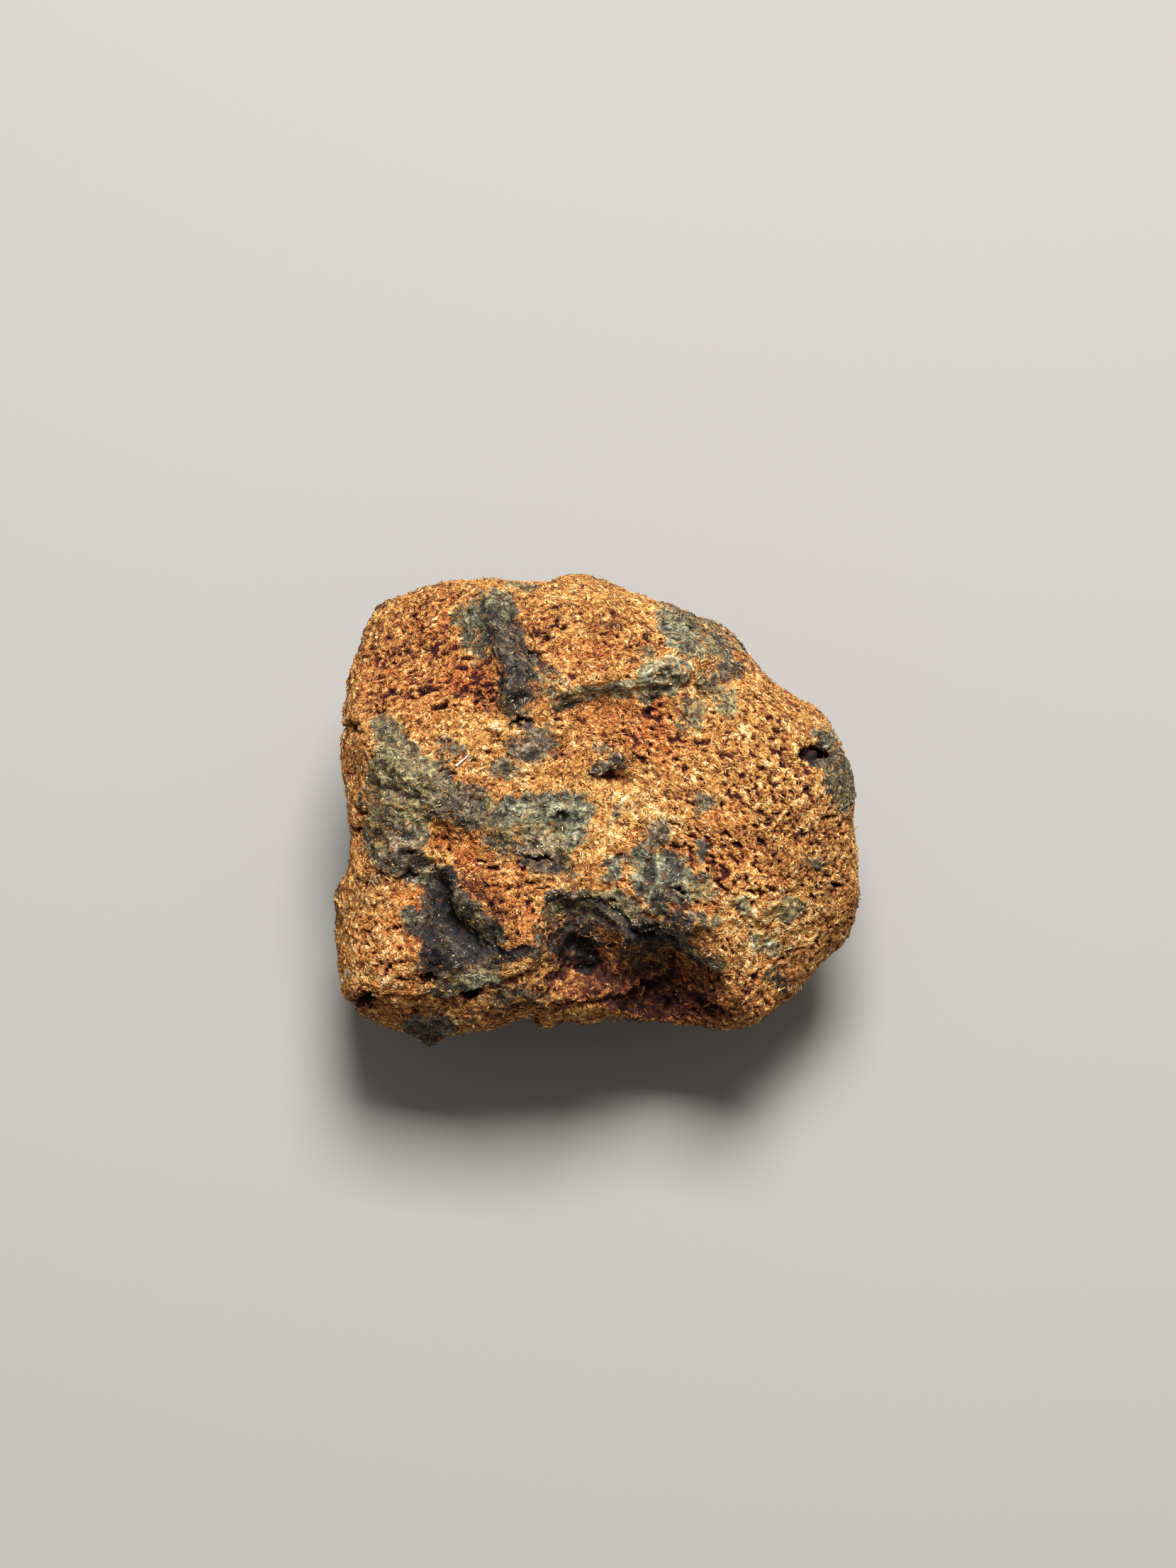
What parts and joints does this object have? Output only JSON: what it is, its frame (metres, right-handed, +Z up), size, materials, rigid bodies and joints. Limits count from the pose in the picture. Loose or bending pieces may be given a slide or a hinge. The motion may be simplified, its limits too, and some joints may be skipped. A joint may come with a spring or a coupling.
{
  "type": "iron meteorite",
  "caption": "Small rusted iron meteorite fragment with a pitted ochre face, dark crust ledges and a scooped hollow, lying on a flat spot of its back.",
  "frame": {"origin": "centre of the bounding box at the level of the flat spot it rests on", "axes": "+X along the longest extent, to the right when looking at the broad pitted face; +Y across it; +Z up, out of the broad face, along the shortest extent"},
  "size_m": [0.0146, 0.0128, 0.0092],
  "materials": {
    "rusted_iron": "crumbly ochre and red-brown rust with plates of dark grey-green crust"
  },
  "bodies": {
    "root": {"meteorite": "rusted_iron"}
  },
  "joints": []
}
